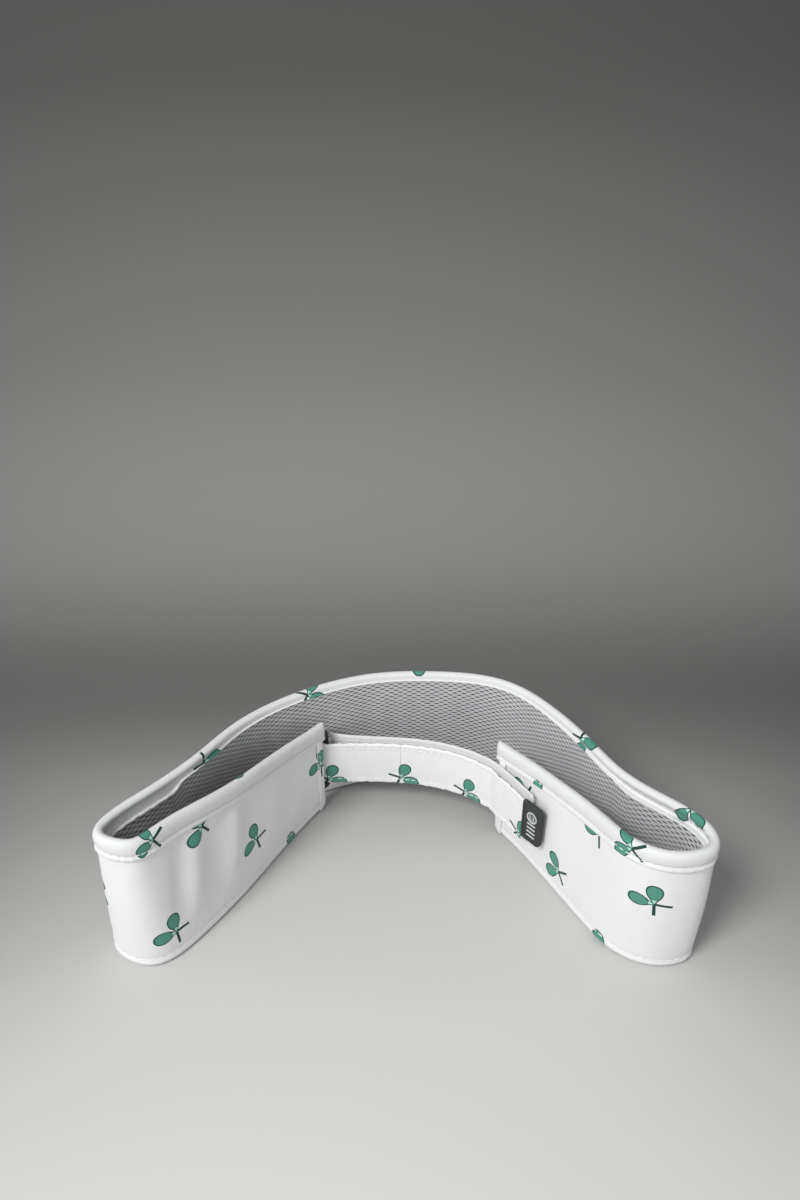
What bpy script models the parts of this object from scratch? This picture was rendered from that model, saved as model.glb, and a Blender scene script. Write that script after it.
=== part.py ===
"""Sports headband: a padded fabric band that narrows into two arms, joined at
the back by a strap that turns through a ring and closes with hook and loop.

The band stands on its bottom edge. X runs along its width, Y from the arms to
the front of the band, and Z up. The origin is under the middle of the outline.
Every layer is a strip that follows one line, the middle of the wall.
"""
import math

import bmesh
import bpy
import numpy as np

MM = 0.001
GAP = 0.3                       # between touching pieces, mm

# --- Band (mm) -------------------------------------------------------------
# Middle of the wall at the floor, from the left arm's end to the right arm's.
BAND_LINE = [
    (-30.0, 29.0), (-36.5, 19.0), (-45.0, 3.5), (-53.5, -13.5), (-63.5, -29.5),
    (-73.0, -42.5), (-81.5, -42.0), (-90.5, -36.0), (-87.5, -29.0), (-77.0, -16.5),
    (-66.5, -0.5), (-56.5, 18.0), (-37.0, 33.5), (-14.0, 44.0), (10.0, 45.0),
    (30.0, 43.5), (43.0, 36.5), (53.0, 23.0), (62.0, 7.5), (68.5, -9.5),
    (80.0, -20.5), (89.0, -29.5), (90.5, -38.5), (86.0, -41.5), (76.5, -42.5),
    (66.5, -37.0), (60.0, -25.0), (51.5, -9.0), (44.0, 5.5), (36.0, 17.0),
]
CENTRE = (0.45, 1.2)            # middle of the outline, moved to the origin
# Height of the wall, at fractions of the line from the left end to the right.
HEIGHTS = [(0.0, 37.7), (0.1, 45.0), (0.15, 48.4), (0.205, 49.2), (0.5, 49.5),
           (0.795, 49.2), (0.85, 48.4), (0.9, 45.0), (1.0, 39.0)]
# How far the top edge stands outside the bottom edge, at the same fractions.
LEANS = [(0.0, 0.0), (0.1, -2.0), (0.17, -6.5), (0.205, -3.0), (0.24, 0.0),
         (0.32, -2.5), (0.5, 0.0), (0.76, -1.0), (0.83, 1.0), (0.9, -2.5), (1.0, 0.0)]
PROFILE_SOFTNESS = 9.0          # half the length over which a profile is evened out
END_CORNER = 4.5                # radius of the arms' lower corners
LAYER_END = 1.0                 # the layers stop this far inside the arm's end
MAX_TURN = math.radians(6.0)
MAX_STEP = 8.0

# Layers of the wall: inner and outer face, measured outwards from its middle.
SHELL = (1.2, 1.8)
FOAM = (-0.4, 0.8)
LINING = (-1.5, -0.9)
OUTER_TAPE = (2.1, 2.7)         # a tape's leg on the outside
INNER_TAPE = (-2.4, -1.8)       # and on the inside
HEM_RETURN = 5.0                # how far the shell turns up inside
TAPE = 0.6                      # thickness of the tape
BINDING_OUTER = 6.8             # binding's depth on the outside
BINDING_INNER = 5.5             # and on the inside
BINDING_OVERHANG = 2.0          # binding's length past each arm's end
FACING_DEPTH = 3.6              # how far an end facing wraps along the arm

# --- Ring at the left arm's end (mm) --------------------------------------
RING_THICKNESS = 1.4
RING_BAR = 2.0
RING_Z = (6.5, 32.5)
RING_REACH = (-4.0, 5.2)        # along the arm's line, past its end
RING_PIVOT = -3.0               # middle of the bar held in the arm's end
RING_LEVEL = 0.15               # middle of the ring, outwards from the wall's middle
RING_POCKET = 7.0               # foam stops this far inside the left end
RING_SLOT = 2.8                 # width of the facing's slots

# --- Strap (mm) ------------------------------------------------------------
STRAP_Z = (9.0, 30.0)
RETURN_Z = (9.3, 27.6)
BASE_THICKNESS = 0.8
RETURN_THICKNESS = 0.8
BASE_LEVEL = 3.4                # middle of the base strap on the right arm
RETURN_LEVEL = 5.3              # middle of the tail on the right arm
BASE_END = 20.5                 # base strap's reach along the right arm
TAIL_REACH = 18.3               # tail's reach along the right arm
STRAP_RISE = 2.3                # the strap stands this much higher at the right arm
RISE_START = 12.0               # where along each strap it starts to rise
TURN_END = 1.6                  # length of the turn's legs past the bar
TURN_GAP = 1.2                  # room for the turn to move with the ring
# Free run of each strap from the ring to the right arm's end.
BASE_RUN = [(-21.5, 33.1), (-13.0, 32.4), (-4.0, 31.6), (5.0, 30.1), (14.0, 27.3),
            (23.0, 22.9), (29.0, 18.6)]
RETURN_RUN = [(-21.5, 30.9), (-13.0, 31.0), (-4.0, 30.2), (5.0, 28.6), (14.0, 25.8),
              (22.5, 21.7), (28.0, 17.6)]
HOOK_REACH = (3.5, 17.0)
HOOK_LEVEL = 4.35
HOOK_THICKNESS = 0.5
HOOK_Z = (11.0, 26.0)

# --- Pull tab (mm) ---------------------------------------------------------
TAB_LENGTH = 8.7
TAB_Z = (14.3, 30.3)
TAB_LEAN = math.radians(11.0)   # how far the tab turns in towards the arm
TAB_THICKNESS = 1.2
TAB_RIM = 0.4                   # how far the rim stands above the face
TAB_RIM_WIDTH = 0.9
TAB_CORNER = 1.6

# --- Threads (mm) ----------------------------------------------------------
THREAD = 0.4
BINDING_THREAD_DROP = 5.0       # below the top edge
HEM_THREAD_RISE = 3.0           # above the bottom edge
END_THREAD_INSET = 2.6          # from the arm's end
STRAP_THREAD_INSET = 2.2        # from the strap's edges


def b_spline(points, per_span=12):
    """Smooth line steered by the points and passing through the first and last."""
    inner = np.array(points, float)
    first = 2 * inner[0] - inner[1]
    last = 2 * inner[-1] - inner[-2]
    p = np.vstack([first, inner, last])
    line = []
    for i in range(len(p) - 3):
        for t in np.arange(per_span) / per_span:
            weights = ((1 - t) ** 3, 3 * t ** 3 - 6 * t ** 2 + 4,
                       -3 * t ** 3 + 3 * t ** 2 + 3 * t + 1, t ** 3)
            line.append(sum(w * q for w, q in zip(weights, p[i:i + 4])) / 6)
    line.append(inner[-1])
    return np.array(line)


def lengths_along(line):
    return np.concatenate([[0.0], np.cumsum(np.linalg.norm(np.diff(line, axis=0), axis=1))])


def headings(line):
    step = np.gradient(line, axis=0)
    return np.unwrap(np.arctan2(step[:, 1], step[:, 0]))


def thin_out(line):
    """Keep a point wherever the line has turned or run on far enough."""
    run = lengths_along(line)
    turn = headings(line)
    kept = [0]
    for i in range(1, len(line) - 1):
        turned = abs(turn[i] - turn[kept[-1]]) >= MAX_TURN
        if turned or run[i] - run[kept[-1]] >= MAX_STEP:
            kept.append(i)
    kept.append(len(line) - 1)
    return run[kept]


class Wall:
    """A line on the floor that says where a strip's faces stand at each station."""

    def __init__(self, line, heights=None, leans=None):
        self.line = np.array(line, float)
        self.run = lengths_along(self.line)
        self.turn = headings(self.line)
        self.length = self.run[-1]
        self.heights = heights
        self.leans = leans

    def profile(self, stations, s):
        """A softened piecewise line through (fraction, value) stations."""
        where = np.clip(s + np.linspace(-1, 1, 7) * PROFILE_SOFTNESS, 0, self.length)
        return float(np.interp(where / self.length, *zip(*stations)).mean())

    def height(self, s):
        return self.profile(self.heights, s)

    def foot(self, s):
        """Bottom edge, which rises round the corner at each end."""
        inset = min(s, self.length - s)
        if inset >= END_CORNER:
            return 0.0
        across = END_CORNER - max(inset, 0.0)
        return END_CORNER - math.sqrt(END_CORNER ** 2 - across ** 2)

    def direction(self, s):
        angle = np.interp(s, self.run, self.turn)
        return np.array([math.cos(angle), math.sin(angle)])

    def point(self, s, out, z=0.0):
        """The point at arc length s, standing out from the line, at height z."""
        inside = min(max(s, 0.0), self.length)
        base = np.array([np.interp(inside, self.run, self.line[:, k]) for k in (0, 1)])
        along = self.direction(inside)
        outwards = np.array([-along[1], along[0]])
        tilt = 0.0
        if self.leans:
            tilt = self.profile(self.leans, inside) * z / self.height(inside)
        flat = base + along * (s - inside) + outwards * (out + tilt) - np.array(CENTRE)
        return (flat[0] * MM, flat[1] * MM, z * MM)


def material(name, colour, roughness, metallic=0.0):
    mat = bpy.data.materials.new(name)
    mat.use_nodes = True
    shader = mat.node_tree.nodes["Principled BSDF"]
    shader.inputs["Base Color"].default_value = (*colour, 1.0)
    shader.inputs["Roughness"].default_value = roughness
    shader.inputs["Metallic"].default_value = metallic
    mat.diffuse_color = (*colour, 1.0)
    return mat


def add_mesh(name, verts, faces, mat, parent=None):
    """Make one object from faces that enclose one or more solids."""
    mesh = bpy.data.meshes.new(name)
    mesh.from_pydata(verts, [], faces)
    mesh.update()
    bm = bmesh.new()
    bm.from_mesh(mesh)
    bmesh.ops.recalc_face_normals(bm, faces=bm.faces)
    bm.to_mesh(mesh)
    bm.free()
    mesh.materials.append(mat)
    obj = bpy.data.objects.new(name, mesh)
    bpy.context.collection.objects.link(obj)
    if parent:
        obj.parent = parent
        obj.matrix_parent_inverse = parent.matrix_world.inverted()
    return obj


def sweep(name, wall, stations, section, mat, parent=None):
    """Run a closed section along a wall; section(s) gives its (out, z) corners."""
    verts = []
    rings = []
    for s in stations:
        corners = section(s)
        rings.append(range(len(verts), len(verts) + len(corners)))
        verts += [wall.point(s, out, z) for out, z in corners]
    faces = [tuple(rings[0]), tuple(reversed(rings[-1]))]
    for a, b in zip(rings, rings[1:]):
        for k in range(len(a)):
            n = (k + 1) % len(a)
            faces.append((a[k], b[k], b[n], a[n]))
    return add_mesh(name, verts, faces, mat, parent)


def slab(low, high, bottom, top):
    """Section of a plain strip, whose bottom and top may vary along it."""
    def section(s):
        b = bottom(s) if callable(bottom) else bottom
        t = top(s) if callable(top) else top
        return [(low, b), (high, b), (high, t), (low, t)]
    return section


def turned(steps, centre, radius, start, end):
    """Points of an arc, angles in degrees."""
    angles = np.radians(np.linspace(start, end, steps))
    return [(centre[0] + radius * math.cos(a), centre[1] + radius * math.sin(a)) for a in angles]


def between(stations, low, high):
    """The stations inside a range, with its two ends."""
    inside = [s for s in stations if low + 0.4 < s < high - 0.4]
    return [low, *inside, high]


def pivot(name, wall, s, out):
    """Empty on an upright joint axis."""
    empty = bpy.data.objects.new(name, None)
    empty.location = wall.point(s, out, 0.0)
    empty.empty_display_size = 0.01
    bpy.context.collection.objects.link(empty)
    bpy.context.view_layer.update()
    return empty


# --- Band ------------------------------------------------------------------

def outer_shell(band, stations):
    """Printed face of the band, turned under the other layers at the bottom."""
    inner, outer = SHELL
    hem_in, hem_out = INNER_TAPE

    def section(s):
        foot = band.foot(s)
        top = band.height(s) - TAPE - GAP
        return [(outer, foot), (outer, top), (inner, top), (inner, foot + TAPE),
                (hem_out, foot + TAPE), (hem_out, foot + HEM_RETURN),
                (hem_in, foot + HEM_RETURN), (hem_in, foot)]
    mat = material("printed_fabric", (0.86, 0.86, 0.86), 0.8)
    return sweep("outer_shell", band, between(stations, LAYER_END, band.length - LAYER_END),
                 section, mat)


def inner_layer(name, band, stations, faces, ends, colour):
    """A layer that stands inside the hem and under the binding."""
    section = slab(*faces, lambda s: band.foot(s) + TAPE + GAP,
                   lambda s: band.height(s) - TAPE - GAP)
    return sweep(name, band, between(stations, *ends), section, material(name, colour, 0.9))


def top_binding(band, stations):
    """Tape folded over the top edge of every layer."""
    def section(s):
        top = band.height(s)
        return [(OUTER_TAPE[1], top - BINDING_OUTER), (OUTER_TAPE[1], top),
                (INNER_TAPE[0], top), (INNER_TAPE[0], top - BINDING_INNER),
                (INNER_TAPE[1], top - BINDING_INNER), (INNER_TAPE[1], top - TAPE),
                (OUTER_TAPE[0], top - TAPE), (OUTER_TAPE[0], top - BINDING_OUTER)]
    ends = (-BINDING_OVERHANG, band.length + BINDING_OVERHANG)
    return sweep("top_binding", band, between(stations, *ends), section,
                 material("binding_tape", (0.88, 0.88, 0.88), 0.8))


def facing_path(band, side):
    """Plan of an end facing: along the outside, round the end and back inside."""
    radius = 0.9
    out = (OUTER_TAPE[0] + OUTER_TAPE[1]) / 2
    inn = (INNER_TAPE[0] + INNER_TAPE[1]) / 2
    end = TAPE / 2
    plan = [(FACING_DEPTH, out), (FACING_DEPTH * 0.6, out)]
    plan += turned(4, (end + radius, out - radius), radius, 90, 180)
    plan += turned(4, (end + radius, inn + radius), radius, 180, 270)
    plan += [(FACING_DEPTH * 0.6, inn), (FACING_DEPTH, inn)]
    line = []
    for inset, level in plan:
        s = inset if side == "left" else band.length - inset
        x, y, _ = band.point(s, level)
        line.append((x / MM + CENTRE[0], y / MM + CENTRE[1]))
    return Wall(line), [inset for inset, _ in plan]


def end_facing(band, side):
    """Folded cover over one arm's raw end, under the binding and above the hem."""
    wall, insets = facing_path(band, side)
    half = len(insets) // 2

    def bottom(s):
        nearest = int(np.argmin(abs(wall.run - s)))
        rise = GAP if nearest < half else HEM_RETURN + GAP
        return band.foot(insets[nearest]) + rise

    edge = band.height(0.0 if side == "left" else band.length) - BINDING_OUTER - GAP
    section = slab(-TAPE / 2, TAPE / 2, bottom, edge)
    name = side + "_end_facing"
    return sweep(name, wall, list(wall.run), section, material(name, (0.86, 0.86, 0.86), 0.8))


def cut_ring_slots(band, facing):
    """Slots in the left facing that the ring's two side bars come out through."""
    for index, level in enumerate(RING_Z):
        middle = level + (RING_BAR / 2 if index == 0 else -RING_BAR / 2)
        bpy.ops.mesh.primitive_cube_add(size=1.0)
        cutter = bpy.context.object
        cutter.name = "ring_slot_cutter_%d" % index
        x, y, _ = band.point(0.0, RING_LEVEL)
        cutter.location = (x, y, middle * MM)
        along = band.direction(0.0)
        cutter.rotation_euler = (0, 0, math.atan2(along[1], along[0]))
        cutter.scale = (4.0 * MM, RING_SLOT * MM, (RING_BAR + 2 * GAP) * MM)
        cutter.hide_render = True
        cutter.display_type = "WIRE"
        cut = facing.modifiers.new("slot_%d" % index, "BOOLEAN")
        cut.operation = "DIFFERENCE"
        cut.solver = "EXACT"
        cut.object = cutter


# --- Ring and strap --------------------------------------------------------

def ring_outline(reach, heights, corner):
    """Rounded rectangle in (along, z), where along grows past the arm's end."""
    (a, b), (c, d) = reach, heights
    outline = []
    for centre, start in (((b - corner, d - corner), 0), ((a + corner, d - corner), 90),
                          ((a + corner, c + corner), 180), ((b - corner, c + corner), 270)):
        outline += turned(5, centre, corner, start, start + 90)
    return outline


def strap_ring(band, parent):
    """Flat rectangular ring, one bar inside the arm's end and one past it."""
    a, b = RING_REACH
    low, high = RING_Z
    outside = ring_outline(RING_REACH, RING_Z, 1.6)
    window = ring_outline((a + RING_BAR, b - RING_BAR), (low + RING_BAR, high - RING_BAR), 0.6)
    verts = []
    faces = []
    count = len(outside)
    for outline in (outside, window):
        for level in (-RING_THICKNESS / 2, RING_THICKNESS / 2):
            verts += [band.point(-t, RING_LEVEL + level, z) for t, z in outline]
    for k in range(count):
        n = (k + 1) % count
        faces.append((k, n, count + n, count + k))
        faces.append((2 * count + k, 3 * count + k, 3 * count + n, 2 * count + n))
        faces.append((k, 2 * count + k, 2 * count + n, n))
        faces.append((count + k, count + n, 3 * count + n, 3 * count + k))
    ring = add_mesh("strap_ring", verts, faces, material("ring_plastic", (0.01, 0.01, 0.012), 0.4),
                    parent)
    bevel = ring.modifiers.new("edges", "BEVEL")
    bevel.width = 0.25 * MM
    bevel.segments = 1
    bevel.limit_method = "ANGLE"
    bevel.angle_limit = math.radians(50)
    return ring


def bar_centre(band):
    """Plan position of the bar that the strap turns round."""
    x, y, _ = band.point(-(RING_REACH[1] - RING_BAR / 2), RING_LEVEL)
    return np.array([x / MM + CENTRE[0], y / MM + CENTRE[1]])


def turn_radius():
    return RING_BAR / 2 + GAP + BASE_THICKNESS / 2


def turn_line(band):
    """Plan of the strap's half turn round the bar, from the back run to the front."""
    centre = bar_centre(band)
    radius = turn_radius()
    arc = turned(9, centre, radius, 90, 270)
    back = (centre[0] + TURN_END, centre[1] + radius)
    front = (centre[0] + TURN_END, centre[1] - radius)
    return [back, *arc, front]


def arm_points(band, reach, level, step=5.0):
    """Plan points beside the right arm, from its end inwards."""
    points = []
    for inset in np.linspace(0.0, reach, max(2, round(reach / step) + 1)):
        x, y, _ = band.point(band.length - inset, level)
        points.append((x / MM + CENTRE[0], y / MM + CENTRE[1]))
    return points


def rising(low, arm_start):
    """Height above the floor of a strap's edge, which rises towards the right arm."""
    def level(s):
        t = min(max((s - RISE_START) / (arm_start - RISE_START), 0.0), 1.0)
        return low + STRAP_RISE * t * t * (3 - 2 * t)
    return level


def lifted(heights):
    return tuple(z + STRAP_RISE for z in heights)


def base_strap(band):
    """Ribbed elastic tape sewn to the right arm and running back to the ring."""
    start = turn_line(band)[0]
    line = b_spline([(start[0] + TURN_GAP, start[1]), *BASE_RUN,
                     *arm_points(band, BASE_END, BASE_LEVEL)])
    wall = Wall(line)
    half = BASE_THICKNESS / 2
    edges = [rising(z, wall.length - BASE_END) for z in STRAP_Z]
    return sweep("base_strap", wall, thin_out(line), slab(-half, half, *edges),
                 material("ribbed_elastic", (0.82, 0.82, 0.82), 0.9))


def strap_turn(band, parent):
    """The strap where it passes round the ring's bar."""
    wall = Wall(turn_line(band))
    half = BASE_THICKNESS / 2
    return sweep("strap_turn", wall, list(wall.run), slab(-half, half, *RETURN_Z),
                 material("strap_turn_fabric", (0.86, 0.86, 0.86), 0.85), parent)


def return_wall(band):
    start = turn_line(band)[-1]
    line = b_spline([(start[0] + TURN_GAP, start[1]), *RETURN_RUN,
                     *arm_points(band, GAP, RETURN_LEVEL)[:1]])
    return Wall(line)


def return_strap(band):
    """Printed run from the ring back to the right arm's end."""
    wall = return_wall(band)
    half = RETURN_THICKNESS / 2
    edges = [rising(z, wall.length) for z in RETURN_Z]
    return sweep("return_strap", wall, thin_out(wall.line), slab(-half, half, *edges),
                 material("printed_strap", (0.87, 0.87, 0.87), 0.8))


def tail_wall(band, reach, level):
    """Line beside the right arm for a piece between two insets from its end."""
    points = [band.point(band.length - inset, level) for inset in np.linspace(*reach, 6)]
    return Wall([(x / MM + CENTRE[0], y / MM + CENTRE[1]) for x, y, _ in points])


def tail_piece(name, band, parent, reach, level, thickness, heights, mat):
    wall = tail_wall(band, reach, level)
    section = slab(-thickness / 2, thickness / 2, *lifted(heights))
    return sweep(name, wall, list(wall.run), section, mat, parent)


def pull_tab(band, parent):
    """Moulded rubber tab past the tail's end, with a rim round its face."""
    start = np.array(band.point(band.length - TAIL_REACH - GAP, RETURN_LEVEL))[:2]
    along_arm = -band.direction(band.length - TAIL_REACH - TAB_LENGTH / 2)
    turn = math.atan2(along_arm[1], along_arm[0]) + TAB_LEAN
    heading = np.array([math.cos(turn), math.sin(turn)])
    outwards = np.array([heading[1], -heading[0]])

    def place(along, level, z):
        spot = start + (heading * along + outwards * level) * MM
        return (spot[0], spot[1], z * MM)

    low, high = TAB_Z
    rims = []
    for inset in (0.0, TAB_RIM_WIDTH):
        corner = TAB_CORNER - inset * 0.6
        right, top, bottom = TAB_LENGTH - inset, high - inset, low + inset
        outline = [(inset, bottom)]
        outline += turned(5, (right - corner, bottom + corner), corner, 270, 360)
        outline += turned(5, (right - corner, top - corner), corner, 0, 90)
        outline.append((inset, top))
        rims.append(outline)
    back, front = -TAB_THICKNESS / 2, TAB_THICKNESS / 2
    layers = [(rims[0], back), (rims[0], front + TAB_RIM), (rims[1], front + TAB_RIM),
              (rims[1], front)]
    verts = [place(a, level, z) for outline, level in layers for a, z in outline]
    count = len(rims[0])
    faces = [tuple(range(count)), tuple(reversed(range(3 * count, 4 * count)))]
    for layer in range(3):
        for k in range(count):
            n = (k + 1) % count
            a, b = layer * count, (layer + 1) * count
            faces.append((a + k, b + k, b + n, a + n))
    return add_mesh("pull_tab", verts, faces, material("tab_rubber", (0.07, 0.08, 0.08), 0.5),
                    parent)


# --- Threads ---------------------------------------------------------------

def thread(name, wall, stations, level, height):
    """A line of sewing thread lying on a face, at a height that may vary."""
    half = THREAD / 2
    rise = height if callable(height) else (lambda s: height)
    section = slab(level - half, level + half, lambda s: rise(s) - half,
                   lambda s: rise(s) + half)
    return sweep(name, wall, stations, section, material(name, (0.9, 0.9, 0.9), 0.7))


def band_threads(band, stations):
    level = OUTER_TAPE[1] + GAP + THREAD / 2
    hem_level = SHELL[1] + GAP + THREAD / 2
    whole = between(stations, 1.0, band.length - 1.0)
    hem = between(stations, FACING_DEPTH + 0.8, band.length - FACING_DEPTH - 0.8)
    thread("binding_thread", band, whole, level,
           lambda s: band.height(s) - BINDING_THREAD_DROP)
    thread("hem_thread", band, hem, hem_level, HEM_THREAD_RISE)


def end_thread(band, side, low, high):
    """Upright stitch line near an arm's end, on its facing."""
    s = END_THREAD_INSET if side == "left" else band.length - END_THREAD_INSET
    half = THREAD / 2
    level = OUTER_TAPE[1] + GAP + half
    name = side + "_end_thread"
    return sweep(name, band, [s - half, s + half], slab(level - half, level + half, low, high),
                 material(name, (0.9, 0.9, 0.9), 0.7))


def strap_threads(band, tail_pivot):
    """Edge lines along the return strap and the line that closes the tail."""
    wall = return_wall(band)
    out = -(RETURN_THICKNESS / 2 + GAP + THREAD / 2)
    stations = between(thin_out(wall.line), 0.5, wall.length - 0.5)
    thread("strap_lower_thread", wall, stations, out,
           rising(RETURN_Z[0] + STRAP_THREAD_INSET, wall.length))
    thread("strap_upper_thread", wall, stations, out,
           rising(RETURN_Z[1] - STRAP_THREAD_INSET, wall.length))
    tail = tail_wall(band, (TAIL_REACH - 2.4, TAIL_REACH - 2.0), RETURN_LEVEL)
    low, high = lifted(RETURN_Z)
    section = slab(out - THREAD / 2, out + THREAD / 2, low + 1.0, high - 1.0)
    sweep("tail_end_thread", tail, [0.0, tail.length], section,
          material("tail_end_thread", (0.9, 0.9, 0.9), 0.7), tail_pivot)


def main():
    for obj in list(bpy.data.objects):
        bpy.data.objects.remove(obj)
    line = b_spline(BAND_LINE)
    band = Wall(line, HEIGHTS, LEANS)
    corners = [1.0, 1.8, 3.0, END_CORNER]
    stations = sorted([*corners, *(band.length - c for c in corners),
                       *(s for s in thin_out(line) if 6.0 < s < band.length - 6.0)])

    outer_shell(band, stations)
    inner_layer("foam_core", band, stations, FOAM, (RING_POCKET, band.length - LAYER_END),
                (0.75, 0.75, 0.72))
    inner_layer("mesh_lining", band, stations, LINING, (LAYER_END, band.length - LAYER_END),
                (0.4, 0.4, 0.41))
    top_binding(band, stations)
    left = end_facing(band, "left")
    cut_ring_slots(band, left)
    end_facing(band, "right")

    ring_pivot = pivot("ring_pivot", band, -RING_PIVOT, RING_LEVEL)
    strap_ring(band, ring_pivot)
    strap_turn(band, ring_pivot)
    base_strap(band)
    return_strap(band)

    face = RETURN_LEVEL + RETURN_THICKNESS / 2
    tail_pivot = pivot("tail_pivot", band, band.length - GAP / 2, face)
    tail_piece("strap_tail", band, tail_pivot, (GAP, TAIL_REACH), RETURN_LEVEL,
               RETURN_THICKNESS, RETURN_Z, material("printed_tail", (0.87, 0.87, 0.87), 0.8))
    tail_piece("hook_patch", band, tail_pivot, HOOK_REACH, HOOK_LEVEL, HOOK_THICKNESS, HOOK_Z,
               material("hook_tape", (0.8, 0.8, 0.8), 0.9))
    tab_pivot = pivot("tab_pivot", band, band.length - TAIL_REACH - GAP / 2, face)
    tab_pivot.parent = tail_pivot
    tab_pivot.matrix_parent_inverse = tail_pivot.matrix_world.inverted()
    bpy.context.view_layer.update()
    pull_tab(band, tab_pivot)

    band_threads(band, stations)
    left_top = band.height(0.0) - BINDING_OUTER
    end_thread(band, "left", 3.0, left_top - 1.0)
    end_thread(band, "right", 3.0, STRAP_Z[0] - GAP)
    strap_threads(band, tail_pivot)


main()
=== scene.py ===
"""Sports headband: the finished look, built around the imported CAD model.

Each cloth layer is a strip swept along the same line as its CAD solid. Lengths
are in mm until a point is placed, and every placed point is in metres. The
prints, weaves and stitches are drawn from cloth coordinates, also in mm.
"""

import math

import bmesh
import bpy
import numpy as np
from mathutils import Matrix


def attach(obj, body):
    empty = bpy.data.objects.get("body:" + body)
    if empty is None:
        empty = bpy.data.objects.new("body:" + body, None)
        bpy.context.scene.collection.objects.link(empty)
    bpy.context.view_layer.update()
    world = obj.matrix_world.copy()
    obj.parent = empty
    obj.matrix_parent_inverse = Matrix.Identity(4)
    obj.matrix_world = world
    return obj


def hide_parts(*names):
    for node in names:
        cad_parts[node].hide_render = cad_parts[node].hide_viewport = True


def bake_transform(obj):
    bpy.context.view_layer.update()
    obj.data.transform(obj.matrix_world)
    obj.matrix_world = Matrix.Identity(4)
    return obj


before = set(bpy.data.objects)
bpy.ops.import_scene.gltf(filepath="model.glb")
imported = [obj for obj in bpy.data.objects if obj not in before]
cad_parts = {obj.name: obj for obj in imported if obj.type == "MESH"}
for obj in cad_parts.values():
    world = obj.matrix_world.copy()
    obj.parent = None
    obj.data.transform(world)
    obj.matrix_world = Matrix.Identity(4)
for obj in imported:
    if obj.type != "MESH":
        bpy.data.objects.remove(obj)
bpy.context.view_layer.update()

MM = 0.001

# --- The CAD model's lines, in mm ---
# Picked one by one, then fitted to the photographed outline and rounded to 0.5 mm.
BAND_LINE = [
    (-30.0, 29.0), (-36.5, 19.0), (-45.0, 3.5), (-53.5, -13.5), (-63.5, -29.5),
    (-73.0, -42.5), (-81.5, -42.0), (-90.5, -36.0), (-87.5, -29.0), (-77.0, -16.5),
    (-66.5, -0.5), (-56.5, 18.0), (-37.0, 33.5), (-14.0, 44.0), (10.0, 45.0),
    (30.0, 43.5), (43.0, 36.5), (53.0, 23.0), (62.0, 7.5), (68.5, -9.5),
    (80.0, -20.5), (89.0, -29.5), (90.5, -38.5), (86.0, -41.5), (76.5, -42.5),
    (66.5, -37.0), (60.0, -25.0), (51.5, -9.0), (44.0, 5.5), (36.0, 17.0),
]
CENTRE = (0.45, 1.2)
HEIGHTS = [(0.0, 37.7), (0.1, 45.0), (0.15, 48.4), (0.205, 49.2), (0.5, 49.5),
           (0.795, 49.2), (0.85, 48.4), (0.9, 45.0), (1.0, 39.0)]
LEANS = [(0.0, 0.0), (0.1, -2.0), (0.17, -6.5), (0.205, -3.0), (0.24, 0.0),
         (0.32, -2.5), (0.5, 0.0), (0.76, -1.0), (0.83, 1.0), (0.9, -2.5), (1.0, 0.0)]
PROFILE_SOFTNESS = 9.0
END_CORNER = 4.5
BASE_RUN = [(-21.5, 33.1), (-13.0, 32.4), (-4.0, 31.6), (5.0, 30.1), (14.0, 27.3),
            (23.0, 22.9), (29.0, 18.6)]
RETURN_RUN = [(-21.5, 30.9), (-13.0, 31.0), (-4.0, 30.2), (5.0, 28.6), (14.0, 25.8),
              (22.5, 21.7), (28.0, 17.6)]

# --- Sizes that the pieces share, in mm ---
BINDING_OUTER = 6.8             # binding's depth on the outside
BINDING_OVERHANG = 2.0          # binding's length past each arm's end
FACING_DEPTH = 3.6              # how far an end fold wraps along the arm
BAR_REACH = 4.2                 # middle of the ring's outer bar past the arm's end
RING_LEVEL = 0.15
TURN_RADIUS = 1.7               # middle of the strap where it turns round the bar
TURN_END = 1.6
TURN_GAP = 1.2
STRAP_Z = (9.0, 30.0)
COVER_Z = (9.3, 27.6)
BASE_LEVEL = 3.4
BASE_END = 20.5
COVER_LEVEL = 5.3
TAIL_REACH = 18.3
TAIL_GAP = 0.3
HOOK_REACH = (3.5, 17.0)
HOOK_LEVEL = 4.35
HOOK_Z = (11.0, 26.0)
STRAP_RISE = 2.3                # the strap stands this much higher at the right arm
RISE_START = 12.0               # where along each strap it starts to rise
TAB_LENGTH = 8.7
TAB_Z = (14.3, 30.3)
TAB_LEAN = math.radians(11.0)
HEM_SEAM = 3.0                  # hem stitches above the bottom edge
BINDING_SEAM = 5.0              # binding stitches below the top edge
COVER_SEAM = 2.2                # strap stitches inside its edges
COLUMN = 0.8                    # distance between the columns of a swept strip


# --- Lines and walls ---

def b_spline(points, per_span=12):
    """Smooth line steered by the points and passing through the first and last."""
    inner = np.array(points, float)
    first = 2 * inner[0] - inner[1]
    last = 2 * inner[-1] - inner[-2]
    p = np.vstack([first, inner, last])
    line = []
    for i in range(len(p) - 3):
        for t in np.arange(per_span) / per_span:
            weights = ((1 - t) ** 3, 3 * t ** 3 - 6 * t ** 2 + 4,
                       -3 * t ** 3 + 3 * t ** 2 + 3 * t + 1, t ** 3)
            line.append(sum(w * q for w, q in zip(weights, p[i:i + 4])) / 6)
    line.append(inner[-1])
    return np.array(line)


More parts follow.
